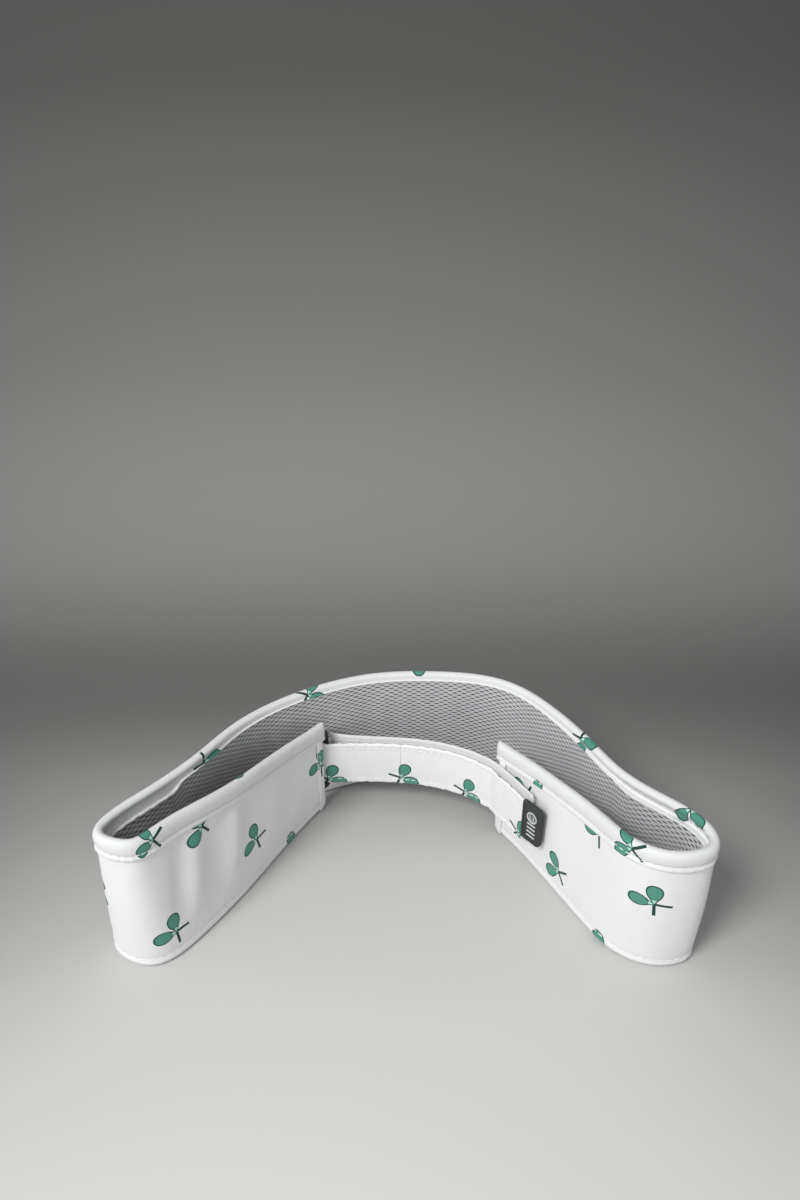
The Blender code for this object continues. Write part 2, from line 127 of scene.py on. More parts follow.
class Wall:
    """A line on the floor that says where a strip's points stand."""

    def __init__(self, line, leaning=False):
        self.line = np.array(line, float)
        steps = np.linalg.norm(np.diff(self.line, axis=0), axis=1)
        self.run = np.concatenate([[0.0], np.cumsum(steps)])
        slope = np.gradient(self.line, axis=0)
        self.turn = np.unwrap(np.arctan2(slope[:, 1], slope[:, 0]))
        self.length = self.run[-1]
        self.leaning = leaning

    def profile(self, stations, s):
        where = np.clip(np.asarray(s, float)[..., None]
                        + np.linspace(-1, 1, 7) * PROFILE_SOFTNESS, 0, self.length)
        return np.interp(where / self.length, *zip(*stations)).mean(axis=-1)

    def height(self, s):
        return self.profile(HEIGHTS, s)

    def foot(self, s):
        """Bottom edge, which rises round the corner at each end."""
        inset = np.clip(np.minimum(s, self.length - s), 0.0, END_CORNER)
        return END_CORNER - np.sqrt(END_CORNER ** 2 - (END_CORNER - inset) ** 2)

    def direction(self, s):
        angle = np.interp(s, self.run, self.turn)
        return np.stack([np.cos(angle), np.sin(angle)], axis=-1)

    def points(self, s, out, z):
        """Points at arc lengths s, standing out from the line, at heights z, in metres."""
        s, out, z = np.broadcast_arrays(np.asarray(s, float), out, z)
        inside = np.clip(s, 0.0, self.length)
        base = np.stack([np.interp(inside, self.run, self.line[:, k]) for k in (0, 1)], -1)
        along = self.direction(inside)
        outwards = np.stack([-along[..., 1], along[..., 0]], -1)
        tilt = self.profile(LEANS, inside) * z / self.height(inside) if self.leaning else 0.0
        flat = base + along * (s - inside)[..., None] + outwards * (out + tilt)[..., None]
        flat = flat - np.array(CENTRE)
        return np.concatenate([flat, z[..., None]], -1) * MM

    def plan(self, s, out):
        """One point of the line's own plan, in mm."""
        return self.points(s, out, 0.0)[:2] / MM + np.array(CENTRE)

    def columns(self, start, end, step=COLUMN):
        return np.linspace(start, end, max(2, int(round((end - start) / step)) + 1))


def arc(steps, centre, radius, start, end):
    angles = np.radians(np.linspace(start, end, steps))
    return [(centre[0] + radius * math.cos(a), centre[1] + radius * math.sin(a)) for a in angles]


def ripple(x, wavelength, phase):
    """Uneven wave between about -1 and 1."""
    k = 2 * math.pi / wavelength
    wave = np.sin(k * x + phase) + 0.6 * np.sin(1.71 * k * x + 2.3 * phase)
    return (wave + 0.4 * np.sin(2.63 * k * x + 0.7 * phase)) / 2


def bump(x, middle, spread):
    return np.exp(-((x - middle) / spread) ** 2)


def ease(x, low, high):
    t = np.clip((x - low) / (high - low), 0.0, 1.0)
    return t * t * (3 - 2 * t)


def rounded(corners, steps):
    """Closed sections through their corners: (columns, corners, 2) with rounded spans."""
    c = np.asarray(corners, float)
    after, before = np.roll(c, -1, 1), np.roll(c, 1, 1)
    span = np.linalg.norm(after - c, axis=2, keepdims=True)
    slope = (after - before) / (span + np.roll(span, 1, 1))
    leave, arrive = slope * span, np.roll(slope, -1, 1) * span
    spans = []
    for t in np.arange(steps) / steps:
        spans.append((2 * t ** 3 - 3 * t ** 2 + 1) * c + (t ** 3 - 2 * t ** 2 + t) * leave
                     + (3 * t ** 2 - 2 * t ** 3) * after + (t ** 3 - t ** 2) * arrive)
    return np.stack(spans, 2).reshape(c.shape[0], -1, 2)


def section(*corners):
    """Corners given as (out, z) pairs of numbers or columns, as one array."""
    size = max(np.size(v) for corner in corners for v in corner)
    return np.stack([np.stack([np.broadcast_to(v, size) for v in corner], -1)
                     for corner in corners], 1).astype(float)


# --- Meshes ---

def new_object(name, verts, faces, mat, sharp=50):
    mesh = bpy.data.meshes.new(name)
    mesh.from_pydata(np.asarray(verts).tolist(), [], faces)
    mesh.update()
    mesh.materials.append(mat)
    obj = bpy.data.objects.new(name, mesh)
    bpy.context.collection.objects.link(obj)
    mesh.shade_smooth()
    mesh.set_sharp_from_angle(angle=math.radians(sharp))
    return obj


def local_to_motif(cloth, motifs):
    """Cloth coordinates of each face's corners, measured from the motif nearest to it."""
    places = np.array(motifs, float)
    middle = cloth.mean(axis=-2)
    gap = middle[..., None, :] - places[:, :2]
    nearest = (gap ** 2).sum(-1).argmin(-1)
    spot = places[nearest]
    delta = cloth - spot[..., None, :2]
    angle = np.radians(spot[..., 2])[..., None]
    return np.stack([delta[..., 0] * np.cos(angle) + delta[..., 1] * np.sin(angle),
                     delta[..., 1] * np.cos(angle) - delta[..., 0] * np.sin(angle)], -1)


def add_uv(mesh, name, values):
    layer = mesh.uv_layers.new(name=name)
    layer.data.foreach_set("uv", np.asarray(values, np.float32).ravel())


def strip(name, wall, s, corners, mat, motifs=None, face_row=0, steps=4, ease_ends=0.6,
          smooth=True):
    """Sweep closed sections along a wall, with cloth coordinates on every face.

    face_row is the corner whose height is the cloth's own height there.
    """
    loop = rounded(corners, steps) if smooth else np.asarray(corners, float)
    if ease_ends:
        middle = loop.mean(axis=1, keepdims=True)
        inset = np.minimum(s - s[0], s[-1] - s)
        shrink = 1 - 0.6 * (1 - np.sqrt(np.clip(inset / ease_ends, 0, 1)))
        loop[..., :1] = middle[..., :1] + (loop[..., :1] - middle[..., :1]) * shrink[:, None, None]
    columns, rows = loop.shape[:2]
    verts = wall.points(s[:, None], loop[..., 0], loop[..., 1])
    edge = np.linalg.norm(np.roll(loop, -1, 1) - loop, axis=2)
    around = np.concatenate([np.zeros((columns, 1)), np.cumsum(edge, 1)], 1)
    ref = face_row * (steps if smooth else 1)
    around += (loop[:, ref, 1] - around[:, ref])[:, None]
    i, j = np.meshgrid(np.arange(columns - 1), np.arange(rows), indexing="ij")
    n = (j + 1) % rows
    quads = np.stack([i * rows + j, (i + 1) * rows + j, (i + 1) * rows + n, i * rows + n], -1)
    faces = quads.reshape(-1, 4).tolist()
    low = list(range(rows))
    faces += [low, [(columns - 1) * rows + r for r in reversed(low)]]
    cloth = np.stack([np.stack([s[i], around[i, j]], -1), np.stack([s[i + 1], around[i + 1, j]], -1),
                      np.stack([s[i + 1], around[i + 1, j + 1]], -1),
                      np.stack([s[i], around[i, j + 1]], -1)], -2)
    ends = [np.stack([np.full(rows, s[0]), around[0, :rows]], -1),
            np.stack([np.full(rows, s[-1]), around[-1, :rows]], -1)[::-1]]
    obj = new_object(name, verts.reshape(-1, 3), faces, mat)
    add_uv(obj.data, "fabric", np.concatenate([cloth.reshape(-1, 2), *ends]))
    if motifs is not None:
        own = local_to_motif(cloth, motifs).reshape(-1, 2)
        far = np.full((2 * rows, 2), 50.0)
        add_uv(obj.data, "motif", np.concatenate([own, far]))
    return turned_out(obj)


def turned_out(obj):
    """Make every face look outwards, keeping the cloth coordinates."""
    bm = bmesh.new()
    bm.from_mesh(obj.data)
    bmesh.ops.recalc_face_normals(bm, faces=bm.faces)
    bm.to_mesh(obj.data)
    bm.free()
    return obj


def tube_faces(sides, rings, first=0, caps=True):
    """Faces of a tube whose rings of points follow one another from point first on."""
    last = first + (rings - 1) * sides
    faces = []
    if caps:
        faces += [list(range(first, first + sides)), list(range(last + sides - 1, last - 1, -1))]
    for ring in range(first, last, sides):
        for a in range(sides):
            n = (a + 1) % sides
            faces.append((ring + a, ring + sides + a, ring + sides + n, ring + n))
    return faces


def finish_piece(obj, body, slot, *nodes):
    """Attach the piece to the body that carries it and hide the CAD nodes it replaces. The slot
    argument, its material slot, is not used.
    """
    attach(obj, body)
    if nodes:
        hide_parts(*nodes)
    return obj


def stitches(name, lines, mat, length=2.0, pitch=2.6, width=0.42, depth=0.3):
    """Separate stitches along lines, each line a function of s giving points on a wall."""
    rings = [(-0.5, 0.0), (-0.44, 0.6), (-0.25, 1.0), (0.25, 1.0), (0.44, 0.6), (0.5, 0.0)]
    sides = 6
    verts, faces = [], []
    for place, start, end in lines:
        count = max(1, int((end - start) / pitch))
        for k in range(count):
            s = start + (k + 0.5) * (end - start) / count
            spot, ahead, outwards = place(s), place(s + 0.2), place(s, 0.2)
            along = ahead - spot
            along /= np.linalg.norm(along)
            up = outwards - spot
            up -= along * (up @ along)
            up /= np.linalg.norm(up)
            across = np.cross(up, along)
            first = len(verts)
            for where, size in rings:
                for a in np.linspace(0, 2 * math.pi, sides, endpoint=False):
                    verts.append(spot + MM * (along * where * length
                                              + up * math.sin(a) * size * depth / 2
                                              + across * math.cos(a) * size * width / 2))
            faces += tube_faces(sides, len(rings), first, caps=False)
    obj = new_object(name, verts, faces, mat, sharp=80)
    bm = bmesh.new()
    bm.from_mesh(obj.data)
    bmesh.ops.remove_doubles(bm, verts=bm.verts, dist=1e-7)
    bmesh.ops.recalc_face_normals(bm, faces=bm.faces)
    bm.to_mesh(obj.data)
    bm.free()
    return obj


# --- Materials ---

class Nodes:
    """Short way to write a node tree."""

    def __init__(self, tree):
        self.tree = tree

    def add(self, kind, **settings):
        node = self.tree.nodes.new(kind)
        for key, value in settings.items():
            setattr(node, key, value)
        return node

    def put(self, socket, value):
        if isinstance(value, bpy.types.NodeSocket):
            self.tree.links.new(value, socket)
        else:
            socket.default_value = value

    def math(self, operation, a, b=0.0, clamp=False):
        node = self.add("ShaderNodeMath", operation=operation, use_clamp=clamp)
        self.put(node.inputs[0], a)
        self.put(node.inputs[1], b)
        return node.outputs[0]

    def mix(self, share, a, b):
        node = self.add("ShaderNodeMix", data_type="RGBA")
        self.put(node.inputs[0], share)
        for socket, value in ((node.inputs[6], a), (node.inputs[7], b)):
            self.put(socket, (*value, 1.0) if isinstance(value, tuple) and len(value) == 3 else value)
        return node.outputs[2]

    def noise(self, vector, scale, detail=2.0, roughness=0.5):
        node = self.add("ShaderNodeTexNoise")
        node.inputs["Scale"].default_value = scale
        node.inputs["Detail"].default_value = detail
        node.inputs["Roughness"].default_value = roughness
        self.put(node.inputs["Vector"], vector)
        return node.outputs["Fac"]

    def cloth(self, layer):
        """Cloth coordinates as two sockets."""
        uv = self.add("ShaderNodeUVMap", uv_map=layer)
        apart = self.add("ShaderNodeSeparateXYZ")
        self.put(apart.inputs[0], uv.outputs[0])
        return uv.outputs[0], apart.outputs[0], apart.outputs[1]


def surface(name, roughness, sheen=0.0, specular=0.5):
    """A material with its node helper and shader."""
    mat = bpy.data.materials.new(name)
    mat.use_nodes = True
    shader = mat.node_tree.nodes["Principled BSDF"]
    shader.inputs["Roughness"].default_value = roughness
    shader.inputs["Sheen Weight"].default_value = sheen
    shader.inputs["Specular IOR Level"].default_value = specular
    return mat, Nodes(mat.node_tree), shader


def relief(nodes, shader, height, strength, distance):
    node = nodes.add("ShaderNodeBump")
    node.inputs["Strength"].default_value = strength
    node.inputs["Distance"].default_value = distance
    nodes.put(node.inputs["Height"], height)
    nodes.put(shader.inputs["Normal"], node.outputs[0])


RACKET_SPREAD = math.radians(42)  # each racket's angle from the line between them
HEAD_MIDDLE = 4.15
HEAD_LENGTH = 3.1
HEAD_WIDTH = 2.3
HANDLE_HALF = 0.45
CLOTH_WHITE = (0.83, 0.83, 0.83)
PRINT_GREEN = (0.062, 0.26, 0.195)
PRINT_LINE = (0.004, 0.06, 0.05)
PRINT_DARK = (0.002, 0.045, 0.04)
PRINT_LIGHT = (0.42, 0.72, 0.6)


def racket(nodes, u, v, side):
    """Masks of one racket: head, its outline, its handle, and the light at its throat."""
    cos, sin = math.cos(RACKET_SPREAD), side * math.sin(RACKET_SPREAD)
    m = nodes.math
    a = m("ADD", m("MULTIPLY", u, cos), m("MULTIPLY", v, sin))
    b = m("SUBTRACT", m("MULTIPLY", v, cos), m("MULTIPLY", u, sin))
    along = m("SUBTRACT", a, HEAD_MIDDLE)
    wide = m("MULTIPLY", m("ADD", m("MULTIPLY", along, 0.06), 1.0), HEAD_WIDTH)
    egg = m("ADD", m("POWER", m("ABSOLUTE", m("DIVIDE", along, HEAD_LENGTH)), 2.0),
            m("POWER", m("ABSOLUTE", m("DIVIDE", b, wide)), 2.0))
    head = m("LESS_THAN", egg, 1.0)
    line = m("MULTIPLY", head, m("GREATER_THAN", egg, 0.7))
    across = m("ABSOLUTE", b)
    shaft = m("LESS_THAN", m("ABSOLUTE", m("ADD", a, 2.2)), 2.45)
    handle = m("MULTIPLY", shaft, m("LESS_THAN", across, HANDLE_HALF))
    neck = m("MULTIPLY", m("GREATER_THAN", a, 0.2), m("LESS_THAN", a, 1.5))
    half = m("ADD", m("MULTIPLY", a, 0.5), 0.12)
    rim = m("LESS_THAN", m("ABSOLUTE", m("SUBTRACT", across, half)), 0.2)
    handle = m("MAXIMUM", handle, m("MULTIPLY", neck, rim))
    light = m("MULTIPLY", neck, m("LESS_THAN", across, m("SUBTRACT", half, 0.14)))
    strings = m("MAXIMUM", m("SINE", m("MULTIPLY", a, 8.4)), m("SINE", m("MULTIPLY", b, 8.4)))
    strings = m("MULTIPLY", m("GREATER_THAN", strings, 0.8), head)
    return head, line, handle, light, strings


def racket_print(nodes, plain):
    """Plain cloth colour with the crossed rackets printed over it."""
    _, u, v = nodes.cloth("motif")
    pair = [racket(nodes, u, v, side) for side in (1, -1)]
    head, line, handle, light, strings = [nodes.math("MAXIMUM", a, b) for a, b in zip(*pair)]
    colour = nodes.mix(head, plain, PRINT_GREEN)
    colour = nodes.mix(nodes.math("MULTIPLY", strings, 0.1), colour, PRINT_LIGHT)
    colour = nodes.mix(line, colour, PRINT_LINE)
    colour = nodes.mix(handle, colour, PRINT_DARK)
    return nodes.mix(light, colour, PRINT_LIGHT)


def woven(nodes, pitch_u, pitch_v):
    """Height of a fine weave, from cloth coordinates, with slubs and creases."""
    uv, u, v = nodes.cloth("fabric")
    warp = nodes.math("SINE", nodes.math("MULTIPLY", u, 2 * math.pi / pitch_u))
    weft = nodes.math("SINE", nodes.math("MULTIPLY", v, 2 * math.pi / pitch_v))
    weave = nodes.math("MULTIPLY", warp, weft)
    slub = nodes.noise(uv, 1.1, 3.0)
    crease = nodes.noise(uv, 0.16, 3.0, 0.55)
    height = nodes.math("ADD", nodes.math("MULTIPLY", weave, 0.12),
                        nodes.math("MULTIPLY", slub, 0.35))
    return uv, nodes.math("ADD", height, nodes.math("MULTIPLY", crease, 1.6))


def cloth_material(name, printed, white=CLOTH_WHITE, roughness=0.72):
    mat, nodes, shader = surface(name, roughness, sheen=0.15, specular=0.35)
    uv, height = woven(nodes, 0.42, 0.36)
    patch = nodes.noise(uv, 0.12, 3.0)
    shade = tuple(c * 0.955 for c in white)
    colour = nodes.mix(patch, shade, white)
    if printed:
        colour = racket_print(nodes, colour)
    nodes.put(shader.inputs["Base Color"], colour)
    relief(nodes, shader, height, 0.35, 0.0003)
    return mat


SLIT_PITCH = 3.4                # from one slit to the next along a row of the mesh
ROW_PITCH = 0.89
SLIT_HALF = 1.15
SLIT_HALF_HEIGHT = 0.3


def mesh_material():
    """Warp-knit lining: flat yarns with short slits in alternate rows, the slits coloured near black
    as painted shade in their openings.
    """
    mat, nodes, shader = surface("mesh_lining_look", 0.8, sheen=0.2, specular=0.3)
    m = nodes.math
    uv, u, v = nodes.cloth("fabric")
    wander = m("MULTIPLY", m("SUBTRACT", nodes.noise(uv, 0.5, 1.0), 0.5), 0.35)
    row = m("DIVIDE", m("ADD", v, wander), ROW_PITCH)
    odd = m("MODULO", m("FLOOR", row), 2.0)
    column = m("ADD", m("DIVIDE", u, SLIT_PITCH), m("MULTIPLY", odd, 0.5))
    du = m("MULTIPLY", m("SUBTRACT", m("FRACT", column), 0.5), SLIT_PITCH)
    dv = m("MULTIPLY", m("SUBTRACT", m("FRACT", row), 0.5), ROW_PITCH)
    egg = m("ADD", m("POWER", m("ABSOLUTE", m("DIVIDE", du, SLIT_HALF)), 2.0),
            m("POWER", m("ABSOLUTE", m("DIVIDE", dv, SLIT_HALF_HEIGHT)), 2.0))
    slit_and_shade = m("SUBTRACT", 1.0, m("MINIMUM", egg, 1.0))
    slit_and_shade = m("POWER", slit_and_shade, 0.5)
    ribs = m("SINE", m("MULTIPLY", u, 2 * math.pi / 0.34))
    yarn = nodes.mix(nodes.noise(uv, 2.2, 2.0), (0.5, 0.5, 0.51), (0.64, 0.64, 0.65))
    # painted shade: the slits are coloured near black for the shade inside the openings; the same
    # mask also sinks them as a real recess in the bump
    colour = nodes.mix(m("MULTIPLY", slit_and_shade, 0.97, True), yarn, (0.05, 0.052, 0.055))
    nodes.put(shader.inputs["Base Color"], colour)
    height = m("ADD", m("MULTIPLY", slit_and_shade, -1.0), m("MULTIPLY", ribs, 0.1))
    relief(nodes, shader, height, 0.8, 0.0003)
    return mat


def elastic_material():
    mat, nodes, shader = surface("ribbed_elastic_look", 0.85, sheen=0.2, specular=0.3)
    uv, u, _ = nodes.cloth("fabric")
    loops = nodes.math("SINE", nodes.math("MULTIPLY", u, 2 * math.pi / 0.5))
    fuzz = nodes.noise(uv, 3.0, 4.0, 0.7)
    colour = nodes.mix(fuzz, (0.66, 0.66, 0.655), (0.83, 0.83, 0.825))
    nodes.put(shader.inputs["Base Color"], colour)
    height = nodes.math("ADD", nodes.math("MULTIPLY", loops, 0.3), fuzz)
    relief(nodes, shader, height, 0.5, 0.0003)
    return mat


def grained_material(name, colour, roughness, scale, strength, spread=0.12, specular=0.5):
    """Moulded, foamed or spun stuff with a fine grain, placed by the object's own space."""
    mat, nodes, shader = surface(name, roughness, specular=specular)
    place = nodes.add("ShaderNodeTexCoord").outputs["Object"]
    grain = nodes.noise(place, scale, 4.0, 0.6)
    low = tuple(c * (1 - spread) for c in colour)
    high = tuple(min(1.0, c * (1 + spread)) for c in colour)
    nodes.put(shader.inputs["Base Color"], nodes.mix(grain, low, high))
    worn = nodes.math("ADD", nodes.math("MULTIPLY", nodes.noise(place, scale * 0.1, 2.0), 0.25),
                      roughness - 0.12)
    nodes.put(shader.inputs["Roughness"], worn)
    relief(nodes, shader, grain, strength, 0.0002)
    return mat


PRINTED = cloth_material("printed_fabric_look", True)
BINDING = cloth_material("binding_tape_look", True, (0.78, 0.78, 0.78), 0.66)
COVER = cloth_material("printed_strap_look", True, (0.85, 0.85, 0.85))
LINING = mesh_material()
ELASTIC = elastic_material()
FOAM = grained_material("foam_look", (0.72, 0.72, 0.68), 0.95, 1400, 0.6)
HOOKS = grained_material("hook_tape_look", (0.78, 0.78, 0.78), 0.6, 900, 0.3)
PLASTIC = grained_material("ring_plastic_look", (0.012, 0.012, 0.013), 0.42, 2600, 0.25, 0.3)
RUBBER = grained_material("tab_rubber_look", (0.045, 0.048, 0.048), 0.62, 3000, 0.35,
                          specular=0.3)
RUBBER_LIGHT = grained_material("tab_relief_look", (0.6, 0.61, 0.61), 0.5, 3000, 0.2)
THREAD = grained_material("thread_look", (0.84, 0.84, 0.84), 0.6, 5000, 0.5)


# --- Where the motifs are on the cloth: (along, up, degrees) ---
# Those that the photo shows were traced back to the cloth and then moved one by one.
BAND_MOTIFS = [(1.4, 21.9, 45), (19.5, -2.0, 17), (39.8, 16.8, 36), (60.8, 39.0, 14),
               (77.9, 9.9, 45), (104.5, 25.0, 180), (375.0, 27.6, 43), (386.5, -2.2, 13),
               (396.5, 39.0, 30), (411.0, 9.9, 9), (431.5, 27.8, -27)]
BINDING_MOTIFS = [(37.5, 50.6, 0), (78.5, 46.6, 20), (143.1, 55.0, 47), (190.5, 52.4, -8),
                  (233.0, 45.0, 48), (303.6, 52.0, 27), (347.6, 49.6, 70), (383.2, 45.4, 0),
                  (426.2, 30.4, 48), (118.0, 43.0, 200), (168.0, 42.0, 30), (272.0, 42.5, 170),
                  (326.0, 42.0, 20)]
FOLD_MOTIFS = [(1.4, 21.2, 132)]
NO_MOTIFS = [(30.0, 90.0, 0)]   # one that lies past the cloth
STRAP_MOTIFS = [(-1.2, 11.2, 26), (26.0, 13.0, 26), (51.2, 13.7, 25), (77.8, 13.8, 16)]


def scattered(start, end, heights, step, seed):
    """Motifs tossed over the stretch of cloth that the listed ones leave free."""
    chance = np.random.default_rng(seed)
    places = []
    for row, height in enumerate(heights):
        for s in np.arange(start + (row % 2) * step / 2, end, step):
            jitter = chance.uniform(-1, 1, 3)
            places.append((s + 3.0 * jitter[0], height + 1.5 * jitter[1], 30 + 60 * jitter[2]))
    return places


BAND_MOTIFS += scattered(120, 350, (6.0, 23.0, 38.0), 30, 4)


# --- Band ---

TIPS = (0.205, 0.795)           # where the band turns back, as shares of its length
TIP_SPREAD = 17.0
BINDING_STITCH_OUT = 2.2        # how far out each row of stitches lies
HEM_STITCH_OUT = 1.84
END_STITCH_OUT = 2.6
END_STITCH_INSET = 2.6
COVER_STITCH_OUT = 0.44
# Folds of the left arm: (place along it, spread, height).
LEFT_FOLDS = [(70.0, 3.4, -0.6), (63.5, 3.6, 1.0), (54.5, 4.6, -0.9), (46.5, 3.4, 0.7),
              (39.0, 4.0, -0.5), (27.0, 5.0, 0.5), (16.0, 4.0, -0.4)]
FOLD_LEAN = 0.22                # how far a fold drifts for each mm that it drops


def hug(s, length):
    """1 near the two tips of the band, 0 elsewhere."""
    return sum(bump(s, tip * length, TIP_SPREAD) for tip in TIPS)


def slanted_folds(s, drop):
    """Soft folds that run down from the binding on the left arm, leaning as they drop."""
    lean = FOLD_LEAN * drop
    return sum(height * bump(s, middle + lean, spread) for middle, spread, height in LEFT_FOLDS)


def printed_face(band):
    """Printed outside of the band, turned under at the bottom edge."""
    s = band.columns(0.6, band.length - 0.6)
    foot, top = band.foot(s), band.height(s)
    pucker = 0.09 * ripple(s, 3.1, 0.4)
    puff = 0.4 + 0.2 * ripple(s, 60, 2.0)
    rows = []
    for share in (0.1, 0.22, 0.34, 0.46, 0.58, 0.7, 0.8, 0.9):
        level = foot + 4.5 + (top - BINDING_OUTER - foot - 4.5) * share
        swell = puff * math.sin(math.pi * share)
        swell = swell + slanted_folds(s, (1 - share) * 30) * ease(share, 0.0, 0.5)
        swell = swell + 0.16 * ripple(s + 7 * share, 31, 3.0)
        rows.append((1.9 + swell, level))
    corners = section(
        (-1.3, foot + 4.6), (-1.45, foot + 2.6), (-1.2, foot + 0.7), (0.2, foot),
        (1.6, foot + 0.5), (2.08 + pucker, foot + 1.7), (1.8, foot + HEM_SEAM),
        (1.95 + pucker, foot + 4.5), *rows, (1.85, top - 6.2), (1.6, top - 2.4),
        (1.0, top - 2.4), (1.2, top - 6.5), (1.3, foot + 22), (1.25, foot + 4.5),
        (0.9, foot + 1.4), (0.2, foot + 0.7), (-0.5, foot + 1.2), (-0.7, foot + 4.6))
    obj = strip("printed_face", band, s, corners, PRINTED, BAND_MOTIFS, face_row=10)
    return finish_piece(obj, "root", "printed_fabric", "outer_shell")


def band_pad(band):
    """Soft filling between the printed face and the lining."""
    s = band.columns(7.0, band.length - 1.0, 2.0)
    foot, top = band.foot(s) + 1.3, band.height(s) - inner_depth(s) - 0.3
    swell = 0.1 * ripple(s, 9, 0.8)
    corners = section((-0.2, foot + 0.5), (0.2, foot), (0.7, foot + 0.5), (0.95 + swell, foot + 14),
                      (0.95 - swell, foot + 28), (0.7, top - 0.6), (0.2, top), (-0.2, top - 0.6),
                      (-0.25 + swell, foot + 28), (-0.25 - swell, foot + 14))
    obj = strip("band_pad", band, s, corners, FOAM, face_row=3)
    return finish_piece(obj, "root", "foam", "foam_core")


def mesh_panel(band):
    """Knitted lining, which swells a little below the roll near the tips."""
    s = band.columns(1.2, band.length - 1.2)
    foot, top = band.foot(s) + 1.3, band.height(s) - inner_depth(s) + 0.4
    swell = 0.2 + 0.2 * ripple(s, 22, 0.5)
    puff = 0.9 * hug(s, band.length)
    corners = section((-0.45, foot), (-0.4, foot + 12), (-0.4, foot + 26), (-0.45, top),
                      (-0.9, top), (-1.05 - puff, top - 2.5), (-1.1 - swell - 1.6 * puff, top - 7),
                      (-1.1 - swell - puff, foot + 26),
                      (-1.1 - swell, foot + 12), (-1.1, foot + 4), (-0.9, foot))
    obj = strip("mesh_panel", band, s, corners, LINING, face_row=6)
    return finish_piece(obj, "root", "mesh_lining", "mesh_lining")


ROLL_DEPTH = 3.0                # depth of the roll inside the band, where it is least
LEFT_POCKET = 3.4               # how much deeper it is round each tip
RIGHT_POCKET = 2.5
BESIDE_POCKET = 1.0


def inner_depth(s):
    """Depth of the roll inside the band: deep round the tips, ending in a kink."""
    s = np.asarray(s, float)
    left = ease(s, 60, 80) * (1 - ease(s, 128, 134))
    right = ease(s, 321, 329) * (1 - ease(s, 372, 392))
    near = ease(s, 96, 128) * (1 - ease(s, 134, 185)) + ease(s, 270, 321) * (1 - ease(s, 329, 340))
    near = np.clip(near - left - right, 0, 1)
    return ROLL_DEPTH + LEFT_POCKET * left + RIGHT_POCKET * right + BESIDE_POCKET * near


def top_roll(band):
    """Tape rolled over the top edge: inside, it hangs clear and ends in a raised lip."""
    s = band.columns(-BINDING_OVERHANG, band.length + BINDING_OVERHANG, 0.5)
    top = band.height(s)
    end = top - inner_depth(s)
    deep = np.clip((top - end - ROLL_DEPTH) / 2.4, 0, 1)
    tip = hug(s, band.length)
    pucker = 0.13 * ripple(s, 2.7, 0.9) * (0.5 + tip)
    gather = (0.04 + 0.4 * tip * deep) * ripple(s, 4.4, 2.1) - 0.9 * bump(s, 97.5, 1.1)
    edge = 0.15 * ripple(s, 4.1, 0.2) * (0.3 + deep)
    sag = 0.2 * ripple(s, 38, 1.0)
    corners = section(
        (1.85, top - 6.7), (2.25, top - 6.95 + sag), (2.62 + pucker, top - 6.4 + 0.5 * sag),
        (2.45 + pucker, top - 5.7), (2.08, top - BINDING_SEAM - 0.1), (2.42, top - 4.4),
        (2.6 + 0.4 * pucker, top - 2.9), (2.5, top - 1.5), (1.95, top - 0.4),
        (1.05, top), (0.15, top - 0.25), (-0.4, top - 0.8),
        (-0.55 - 0.5 * gather, top - 1.4 - 0.2 * deep),
        (-0.65 + 0.6 * deep - 0.8 * gather, top - 1.9 - 0.8 * deep),
        (-0.7 + 1.25 * deep - 0.5 * gather, end + 0.7 + 0.9 * deep),
        (-0.8 + 1.3 * deep, end + 0.55), (-0.95 + 0.3 * deep, end + 0.45 + 0.25 * deep),
        (-1.1 - 0.15 * deep + edge, end + 0.4 + 0.35 * deep),
        (-1.15 - 0.3 * deep + edge, end + 0.15), (-0.95 - 0.1 * deep, end),
        (-0.4 + 1.1 * deep, end + 0.05), (-0.2 + 1.15 * deep, end + 0.6 + 0.9 * deep),
        (0.8 * deep, top - 1.7 - 0.7 * deep), (0.5, top - 1.1), (1.3, top - 0.95),
        (1.8, top - 2.4))
    obj = strip("top_roll", band, s, corners, BINDING, BINDING_MOTIFS, face_row=6, ease_ends=1.1)
    return finish_piece(obj, "root", "binding_tape", "top_binding")


def facing_line(band, side):
    """Plan of an end fold: along the outside, round the end and back inside."""
    out, inn, end, radius = 2.2, -1.4, 0.3, 0.9
    plan = [(FACING_DEPTH, out), (FACING_DEPTH * 0.6, out)]
    plan += arc(6, (end + radius, out - radius), radius, 90, 180)
    plan += arc(6, (end + radius, inn + radius), radius, 180, 270)
    plan += [(FACING_DEPTH * 0.6, inn), (FACING_DEPTH, inn)]
    insets = np.array([inset for inset, _ in plan])
    where = insets if side == "left" else band.length - insets
    return Wall([band.plan(s, level) for s, (_, level) in zip(where, plan)]), insets


def end_fold(band, side):
    """Folded cover over one arm's raw end."""
    wall, insets = facing_line(band, side)
    s = wall.columns(0.0, wall.length, 0.35)
    inset = np.interp(s, wall.run, insets)
    low = band.foot(inset) + 0.25
    edge = band.height(0.0 if side == "left" else band.length) - BINDING_OUTER + 0.6
    wrinkle = 0.14 * ripple(s, 2.6, 0.3)
    corners = section((0.0, low), (0.32, low + 0.4), (0.3 + wrinkle, low + 5), (0.4 - wrinkle, 16),
                      (0.3 + wrinkle, 24), (0.3, edge), (-0.3, edge), (-0.3, 24), (-0.3, 16),
                      (-0.3, low + 5), (-0.32, low + 0.4))
    motifs = FOLD_MOTIFS if side == "left" else NO_MOTIFS
    if side == "left":          # its line turns the other way, so its outside is mirrored
        corners[..., 0] *= -1
    obj = strip(side + "_end_fold", wall, s, corners, PRINTED, motifs, face_row=3, ease_ends=0.3)
    return finish_piece(obj, "root", "printed_fabric", side + "_end_facing")


